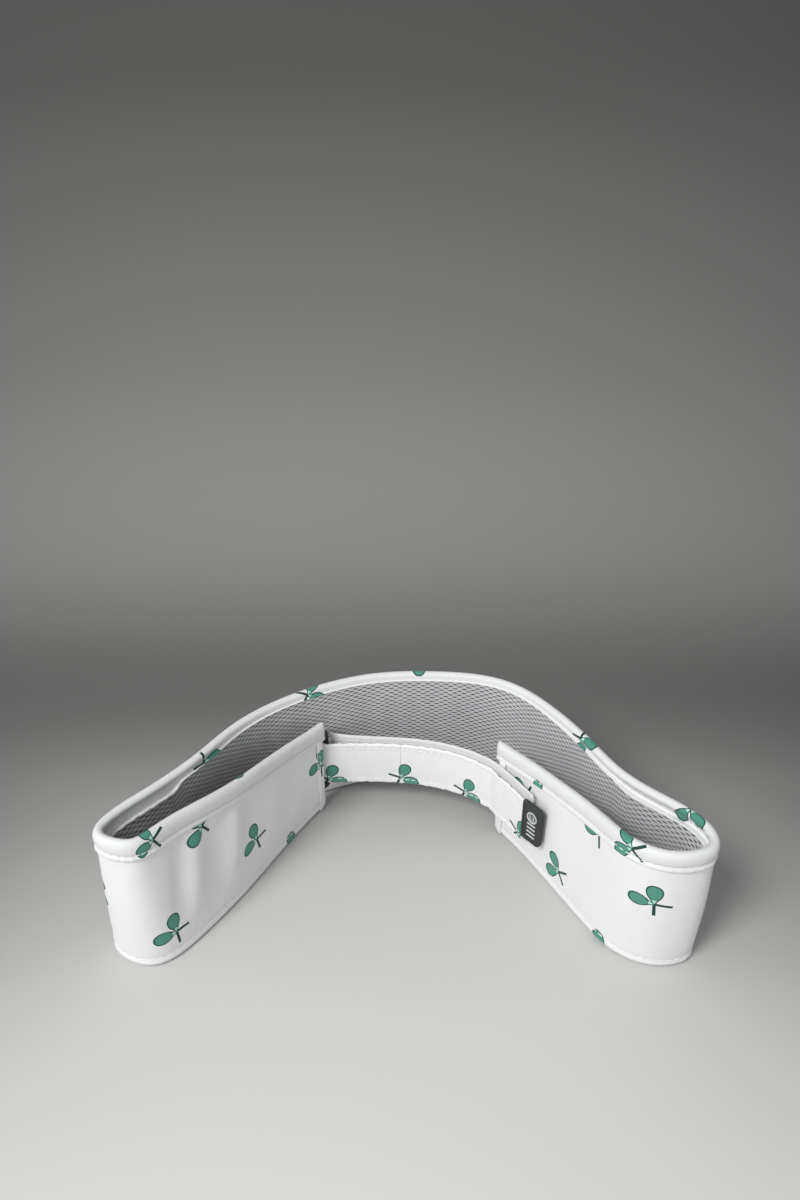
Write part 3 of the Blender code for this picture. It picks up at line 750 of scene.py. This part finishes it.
def band_stitches(band):
    """Rows of stitches along the binding and the hem, on the band's outside."""
    def at(out, level, foot):
        def place(s, proud=0.0):
            z = level + (band.foot(s) if foot else band.height(s))
            return band.points(s, out + proud, z)
        return place

    ends = (1.0, band.length - 1.0)
    binding = at(BINDING_STITCH_OUT, -BINDING_SEAM - 0.1, False)
    rows = stitches("binding_stitches", [(binding, *ends)], THREAD, length=1.7, pitch=2.3,
                    width=0.36, depth=0.26)
    finish_piece(rows, "root", "thread", "binding_thread")
    hem = (FACING_DEPTH + 0.6, band.length - FACING_DEPTH - 0.6)
    rows = stitches("hem_stitches", [(at(HEM_STITCH_OUT, HEM_SEAM, True), *hem)], THREAD)
    finish_piece(rows, "root", "thread", "hem_thread")


def end_stitches(band, side):
    """Upright stitches that close an end fold."""
    s = END_STITCH_INSET if side == "left" else band.length - END_STITCH_INSET

    def place(z, proud=0.0):
        return band.points(s, END_STITCH_OUT + proud, z)

    low = 12.0 if side == "right" else 5.5
    rows = stitches(side + "_end_stitches", [(place, low, band.height(s) - 8.5)], THREAD)
    return finish_piece(rows, "root", "thread", side + "_end_thread")


# --- Strap ---

def turn_line(band):
    """Plan of the strap's half turn round the bar, from the back run to the front."""
    centre = band.plan(-BAR_REACH, RING_LEVEL)
    back = (centre[0] + TURN_END, centre[1] + TURN_RADIUS)
    front = (centre[0] + TURN_END, centre[1] - TURN_RADIUS)
    return [back, *arc(17, centre, TURN_RADIUS, 90, 270), front]


def arm_points(band, reach, level, step=5.0):
    insets = np.linspace(0.0, reach, max(2, round(reach / step) + 1))
    return [tuple(band.plan(band.length - inset, level)) for inset in insets]


def base_wall(band):
    back = turn_line(band)[0]
    start = (back[0] + TURN_GAP, back[1])
    return Wall(b_spline([start, *BASE_RUN, *arm_points(band, BASE_END, BASE_LEVEL)]))


def cover_wall(band):
    """Line of the printed strap: round the bar, back to the arm, and along it."""
    turn = turn_line(band)
    run = b_spline([turn[-1], *RETURN_RUN, *arm_points(band, TAIL_REACH, COVER_LEVEL)])
    return Wall([*turn[:-1], *run])


def rising(wall, arm_start):
    """How much higher a strap's edge stands at s, towards the right arm."""
    start = wall.length - arm_start

    def rise(s):
        return STRAP_RISE * ease(s, RISE_START, start)
    return rise


def follow_ring(obj, band):
    """Bake the piece's placement into its mesh."""
    bar = band.points(-BAR_REACH, RING_LEVEL, 0.0)
    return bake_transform(obj)


def base_band(band, wall):
    """Ribbed elastic sewn to the right arm, its ribs running along it."""
    s = wall.columns(-1.2, wall.length, 1.0)
    rise = rising(wall, BASE_END)(s)
    low, high = STRAP_Z[0] + rise, STRAP_Z[1] + rise
    ribs = 15
    front, rear = [], []
    for k in range(ribs * 2 + 1):
        z = low + 0.5 + (high - low - 1.0) * k / (ribs * 2)
        level = 0.3 + 0.14 * (k % 2) + 0.05 * ripple(s, 7, k)
        front.append((-level, z))
        rear.append((level, z))
    corners = section((0.0, low), *front, (0.0, high), *reversed(rear))
    obj = strip("base_band", wall, s, corners, ELASTIC, face_row=1, steps=2)
    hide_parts("base_strap")
    return follow_ring(obj, band)


def cover_section(s, low, high, crease):
    """Folded strip with a raised hem along each edge, gathered by its stitches."""
    gather = 0.16 * ripple(s, 3.4, 1.7)
    swing = 0.3 * ripple(s, 13, 0.2)
    dip = 0.22 * ripple(s, 5.2, 0.6)
    top = high + dip
    bottom = low + 0.7 * dip
    half = 0.42
    front = [(-half - 0.06 - gather, bottom + 0.8), (-half + 0.06, low + COVER_SEAM),
             (-half - 0.05 - 0.5 * gather + 0.2 * swing, low + 5.0),
             (-half - 0.12 + 0.3 * swing, (low + high) / 2),
             (-half - 0.05 - 0.5 * gather + 0.2 * swing, high - 5.0),
             (-half + 0.06, high - COVER_SEAM), (-half - 0.06 - gather, top - 0.8)]
    rear = [(half + 0.05 - gather, top - 0.8), (half - 0.05, high - COVER_SEAM),
            (half + 0.3 * swing, (low + high) / 2), (half - 0.05, low + COVER_SEAM),
            (half + 0.05 - gather, bottom + 0.8)]
    corners = section((-gather, bottom), *front, (-gather, top), *rear)
    corners[..., 0] += (0.55 * bump(s, crease, 1.6) - 0.25 * bump(s, crease + 4.5, 2.2))[:, None]
    return corners


def strap_covers(band, wall, turn_end):
    """The printed strap in two pieces, one on each side of its middle."""
    low, high = COVER_Z
    middle = turn_end + 26.0
    rise = rising(wall, TAIL_REACH)
    crease = wall.length - TAIL_REACH + 0.6
    motifs = [(turn_end + s, z, angle) for s, z, angle in STRAP_MOTIFS]

    def stretch(name, start, end, ease_ends, *nodes):
        s = wall.columns(start, end, 0.5)
        corners = cover_section(s, low + rise(s), high + rise(s), crease)
        obj = strip(name, wall, s, corners, COVER, motifs, face_row=3, ease_ends=ease_ends)
        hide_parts(*nodes)
        return obj

    follow_ring(stretch("cover_by_ring", 0.0, middle, 0.0, "strap_turn"), band)
    by_arm = stretch("cover_by_arm", middle, wall.length, 0.3, "return_strap", "strap_tail")
    hinge = band.points(band.length, COVER_LEVEL, 0.0)[:2]
    inwards = -band.direction(band.length)
    start, end = hinge - inwards * 0.002, hinge + inwards * 0.003
    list(start)
    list(end)
    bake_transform(by_arm)


def strap_stitches(wall, turn_end, tail_start):
    low, high = COVER_Z
    rise = rising(wall, TAIL_REACH)

    def at(level):
        def place(s, proud=0.0):
            return wall.points(s, -COVER_STITCH_OUT - proud, level + rise(s))
        return place

    for name, level in (("lower", low + COVER_SEAM), ("upper", high - COVER_SEAM)):
        rows = stitches("strap_%s_stitches" % name, [(at(level), turn_end + 2.0, tail_start)],
                        THREAD, length=1.8, pitch=2.3, width=0.36)
        finish_piece(rows, "root", "thread", "strap_%s_thread" % name)

    def upright(z, proud=0.0):
        return wall.points(wall.length - 2.2, -COVER_STITCH_OUT - proud, z)

    rows = [(upright, low + STRAP_RISE + 1.2, high + STRAP_RISE - 1.2)]
    rows += [(at(level), tail_start + 3.0, wall.length - 2.6)
             for level in (low + COVER_SEAM, high - COVER_SEAM)]
    tail = stitches("tail_stitches", rows, THREAD, length=1.8, pitch=2.3, width=0.36)
    return finish_piece(tail, "tail", "thread", "tail_end_thread")


def frayed_end(wall):
    """Cut yarns that stand out from the elastic's end."""
    chance = np.random.default_rng(7)
    verts, faces = [], []
    sides, rings = 4, 5
    for _ in range(150):
        z = chance.uniform(STRAP_Z[0] + 0.3, STRAP_Z[1] - 0.1) + STRAP_RISE
        out = chance.uniform(-0.35, 0.35)
        length = chance.uniform(0.5, 1.7)
        lean = chance.uniform(-0.7, 0.9)
        curl = chance.uniform(-0.5, 0.5)
        radius = chance.uniform(0.05, 0.09)
        first = len(verts)
        for r in range(rings):
            t = r / (rings - 1)
            thick = radius * (1 - 0.6 * t)
            for a in np.linspace(0, 2 * math.pi, sides, endpoint=False):
                verts.append(wall.points(wall.length - 0.2 + length * t,
                                         out + curl * t * t + thick * math.cos(a),
                                         z + lean * t * t + thick * math.sin(a)))
        faces += tube_faces(sides, rings, first)
    obj = turned_out(new_object("elastic_fringe", verts, faces, ELASTIC))
    empty = np.zeros((len(obj.data.loops), 2))
    add_uv(obj.data, "fabric", empty)
    return finish_piece(obj, "root", "ribbed_elastic")


def hook_patch(band):
    """Hook tape: a thin base with rows of bent hooks that face the elastic."""
    a, b = HOOK_REACH
    low, high = HOOK_Z[0] + STRAP_RISE, HOOK_Z[1] + STRAP_RISE
    verts, faces = [], []

    def place(inset, out, z):
        return band.points(band.length - inset, HOOK_LEVEL + out, z)

    s = band.length - np.linspace(b, a, 12)
    corners = section((0.25, low), (0.25, high), (0.1, high), (-0.02, high), (-0.02, low), (0.1, low))
    corners = np.repeat(corners, len(s), 0)
    base = strip("hook_base", band, s, corners + np.array([HOOK_LEVEL, 0.0]), HOOKS, steps=1,
                 smooth=False, ease_ends=0.0)
    finish_piece(base, "tail", "hook_tape", "hook_patch")
    bends = [(0.0, 0.0), (0.0, -0.14), (0.05, -0.24), (0.16, -0.26), (0.22, -0.2)]
    thick = 0.06
    for row, z in enumerate(np.arange(low + 0.6, high - 0.4, 0.8)):
        shift = 0.4 * (row % 2)
        for inset in np.arange(a + 0.6 + shift, b - 0.5, 0.8):
            first = len(verts)
            for along, out in bends:
                for dz, da in ((-thick, -thick), (thick, -thick), (thick, thick), (-thick, thick)):
                    verts.append(place(inset + along + da, out, z + dz))
            faces += tube_faces(4, len(bends), first)
    rows = turned_out(new_object("hook_rows", verts, faces, HOOKS))
    return finish_piece(rows, "tail", "hook_tape")


# --- Pull tab ---

def tab_place(band):
    """Function that places (along, level, z) of the tab in metres."""
    start = band.points(band.length - TAIL_REACH - TAIL_GAP, COVER_LEVEL, 0.0)[:2]
    along_arm = -band.direction(band.length - TAIL_REACH - TAB_LENGTH / 2)
    turn = math.atan2(along_arm[1], along_arm[0]) + TAB_LEAN
    heading = np.array([math.cos(turn), math.sin(turn)])
    outwards = np.array([heading[1], -heading[0]])

    def place(along, level, z):
        spot = start + (heading * along + outwards * level) * MM
        return (spot[0], spot[1], z * MM)
    return place


def tab_outline(inset):
    """Rounded outline whose two free corners are rounder than the two by the tail."""
    free = max(1.9 - inset, 0.5)
    near = max(0.5 - 0.4 * inset, 0.25)
    low, high = TAB_Z[0] + inset, TAB_Z[1] - inset
    left, right = inset, TAB_LENGTH - inset
    outline = arc(4, (left + near, low + near), near, 180, 270)
    outline += arc(8, (right - free, low + free), free, 270, 360)
    outline += arc(8, (right - free, high - free), free, 0, 90)
    outline += arc(4, (left + near, high - near), near, 90, 180)
    return outline


def layered(name, layers, place, mat):
    """Closed solid through outlines at rising levels."""
    verts = [place(a, level, z) for outline, level in layers for a, z in outline]
    faces = tube_faces(len(layers[0][0]), len(layers))
    return turned_out(new_object(name, verts, faces, mat, sharp=35))


def pull_tab(band):
    """Moulded tab with a rim, a ball roundel and plain ribs raised on its face."""
    place = tab_place(band)
    profile = [(0.25, -0.6), (0.07, -0.52), (0.0, -0.3), (0.0, 0.6), (0.08, 0.85), (0.25, 0.98),
               (0.6, 0.98), (0.78, 0.88), (0.9, 0.62)]
    body = layered("tab_body", [(tab_outline(inset), level) for inset, level in profile], place,
                   RUBBER)
    finish_piece(body, "tab", "tab_rubber", "pull_tab")
    middle = (TAB_LENGTH / 2, TAB_Z[1] - 5.2)
    rounds = [(2.25, 0.55), (2.2, 0.78), (2.0, 0.84), (1.85, 0.78), (1.8, 0.62)]
    roundel = layered("tab_roundel", [(arc(28, middle, radius, 0, 347), level)
                                      for radius, level in rounds], place, RUBBER_LIGHT)
    finish_piece(roundel, "tab", "tab_rubber")
    for index, side in enumerate((-1, 1)):
        centre = (middle[0] + side * 2.3, middle[1])
        spread = 42
        start = 180 - spread if side > 0 else -spread
        path = arc(9, centre, 1.55, start, start + 2 * spread)
        bar_piece("tab_seam_%d" % index, path, place, 0.13)
    for index in range(4):
        z = TAB_Z[0] + 2.6 + 1.7 * index
        path = [(2.6, z), (TAB_LENGTH - 2.6, z)]
        bar_piece("tab_rib_%d" % index, path, place, 0.3)


def bar_piece(name, path, place, half):
    """Low rounded bar along a path on the tab's face."""
    line = np.array(path, float)
    slope = np.gradient(line, axis=0)
    slope /= np.linalg.norm(slope, axis=1, keepdims=True)
    side = np.stack([-slope[:, 1], slope[:, 0]], 1)
    verts = []
    profile = [(-1.0, 0.55), (-0.9, 0.76), (-0.5, 0.83), (0.5, 0.83), (0.9, 0.76), (1.0, 0.55)]
    for spot, across in zip(line, side):
        for share, level in profile:
            a, z = spot + across * share * half
            verts.append(place(a, level, z))
    faces = tube_faces(len(profile), len(line))
    obj = turned_out(new_object(name, verts, faces, RUBBER_LIGHT, sharp=40))
    return finish_piece(obj, "tab", "tab_rubber")


# --- Stage, lights and camera ---

FLOOR_FRONT = -0.9
COVE_START = 0.12
COVE_RADIUS = 0.25
WALL_TOP = 1.6
STAGE_HALF = 1.6
# Painted shade on the paper, standing in for the light's falloff: (metres along the sheet from under
# the band's middle, tone).
PAINTED_PAPER_SHADE = [(-0.16, 0.73), (-0.06, 0.64), (0.0, 0.53), (0.05, 0.3), (0.1, 0.165),
               (0.21, 0.265), (0.33, 0.22), (0.5, 0.115), (0.8, 0.05)]
PAINTED_SIDE_SHADE = 4.0                 # painted shade: how fast the paper darkens to either side
PAINTED_SHADE_BESIDE_BAND = 18.0                # painted shade: how much faster it darkens beside the band
PAINTED_SHADE_BESIDE_SPREAD = 0.08
KEY_PLACE = (-0.48, -0.55, 0.84)
KEY_TARGET = (0.0, -0.02, 0.0)
KEY_SIZE = 0.4
KEY_POWER = 8.0
ROOM_COLOUR = (0.97, 0.99, 1.0, 1.0)
ROOM_LIGHT = 0.62
ROOM_FALL = -0.24               # change in the room's light from its middle to its right
CAMERA_PLACE = (-0.00075, -0.2295, 0.238)
CAMERA_PITCH = math.radians(60)
CAMERA_LENS = 27


def stage_material():
    """Pale paper with painted shade: its colour darkens behind the band and to the sides, standing in
    for light falloff.
    """
    mat, nodes, shader = surface("stage_paper", 0.9, specular=0.2)
    m = nodes.math
    _, across, along = nodes.cloth("paper")
    span = PAINTED_PAPER_SHADE[-1][0] - PAINTED_PAPER_SHADE[0][0]
    shade_ramp = nodes.add("ShaderNodeValToRGB")
    shade_ramp.color_ramp.interpolation = "CARDINAL"
    nodes.put(shade_ramp.inputs[0], m("DIVIDE", m("SUBTRACT", along, PAINTED_PAPER_SHADE[0][0]), span))
    stops = shade_ramp.color_ramp.elements
    for index, (place, tone) in enumerate(PAINTED_PAPER_SHADE):
        where = (place - PAINTED_PAPER_SHADE[0][0]) / span
        if index in (0, len(PAINTED_PAPER_SHADE) - 1):
            stop = stops[0 if index == 0 else -1]
            stop.position = where
        else:
            stop = stops.new(where)
        stop.color = (tone, tone * 0.99, tone * 0.965, 1)
    beside = m("POWER", m("ABSOLUTE", m("DIVIDE", along, PAINTED_SHADE_BESIDE_SPREAD)), 2.0)
    beside = m("EXPONENT", m("MULTIPLY", beside, -1.0))
    fall = m("ADD", m("MULTIPLY", beside, PAINTED_SHADE_BESIDE_BAND), PAINTED_SIDE_SHADE)
    share = m("MINIMUM", m("MULTIPLY", m("POWER", m("ABSOLUTE", across), 2.0), fall), 0.5)
    # painted shade: to either side the paper is mixed towards near black, faster beside the band
    colour = nodes.mix(share, shade_ramp.outputs[0], (0.05, 0.05, 0.05))
    nodes.put(shader.inputs["Base Color"], colour)
    place = nodes.add("ShaderNodeTexCoord").outputs["Object"]
    relief(nodes, shader, nodes.noise(place, 900, 3.0), 0.05, 0.0002)
    return mat


def build_stage():
    """Seamless paper: floor, cove and wall in one sheet."""
    profile = [(y, 0.0) for y in np.linspace(FLOOR_FRONT, COVE_START, 12)]
    profile += [(COVE_START + COVE_RADIUS * math.sin(a), COVE_RADIUS * (1 - math.cos(a)))
                for a in np.linspace(0, math.pi / 2, 24)[1:]]
    profile.append((COVE_START + COVE_RADIUS, WALL_TOP))
    steps = np.linalg.norm(np.diff(profile, axis=0), axis=1)
    along = np.concatenate([[0.0], np.cumsum(steps)]) + FLOOR_FRONT
    verts, faces, paper_uv = [], [], []
    for y, z in profile:
        verts += [(-STAGE_HALF, y, z), (STAGE_HALF, y, z)]
    for k in range(len(profile) - 1):
        faces.append((2 * k, 2 * k + 1, 2 * k + 3, 2 * k + 2))
        paper_uv += [(-STAGE_HALF, along[k]), (STAGE_HALF, along[k]),
                     (STAGE_HALF, along[k + 1]), (-STAGE_HALF, along[k + 1])]
    paper = new_object("stage_sheet", verts, faces, stage_material(), sharp=60)
    add_uv(paper.data, "paper", paper_uv)


def area_light(name, location, target, size, power):
    data = bpy.data.lights.new(name, "AREA")
    data.shape = "DISK"
    data.size = size
    data.energy = power
    light = bpy.data.objects.new(name, data)
    light.location = location
    aim = np.array(target) - np.array(location)
    light.rotation_euler = (math.atan2(math.hypot(aim[0], aim[1]), -aim[2]), 0,
                            math.atan2(aim[1], aim[0]) - math.pi / 2)
    bpy.context.collection.objects.link(light)


def build_lights():
    """Soft key from the upper left, in a room that is a little darker on the right."""
    area_light("key", KEY_PLACE, KEY_TARGET, KEY_SIZE, KEY_POWER)
    world = bpy.data.worlds.new("studio")
    world.use_nodes = True
    nodes = Nodes(world.node_tree)
    background = world.node_tree.nodes["Background"]
    background.inputs["Color"].default_value = ROOM_COLOUR
    apart = nodes.add("ShaderNodeSeparateXYZ")
    nodes.put(apart.inputs[0], nodes.add("ShaderNodeTexCoord").outputs["Generated"])
    fall = nodes.math("MULTIPLY", apart.outputs[0], ROOM_FALL)
    strength = nodes.math("ADD", fall, ROOM_LIGHT)
    nodes.put(background.inputs["Strength"], strength)
    bpy.context.scene.world = world


def build_camera():
    data = bpy.data.cameras.new("camera")
    data.sensor_width = 36
    data.lens = CAMERA_LENS
    data.clip_start = 0.01
    camera = bpy.data.objects.new("camera", data)
    camera.location = CAMERA_PLACE
    camera.rotation_euler = (CAMERA_PITCH, 0, 0)
    bpy.context.collection.objects.link(camera)
    bpy.context.scene.camera = camera


def main():
    band = Wall(b_spline(BAND_LINE), leaning=True)
    printed_face(band)
    band_pad(band)
    mesh_panel(band)
    top_roll(band)
    for side in ("left", "right"):
        end_fold(band, side)
        end_stitches(band, side)
    band_stitches(band)

    elastic = base_wall(band)
    base_band(band, elastic)
    frayed_end(elastic)
    cover = cover_wall(band)
    turn_end = Wall(turn_line(band)).length
    strap_covers(band, cover, turn_end)
    strap_stitches(cover, turn_end, cover.length - TAIL_REACH - 1.5)
    hook_patch(band)
    pull_tab(band)
    ring = bpy.data.objects["strap_ring"]
    ring.data.materials.clear()
    ring.data.materials.append(PLASTIC)

    build_stage()
    build_lights()
    build_camera()
    bpy.context.scene.view_settings.view_transform = "Standard"


main()
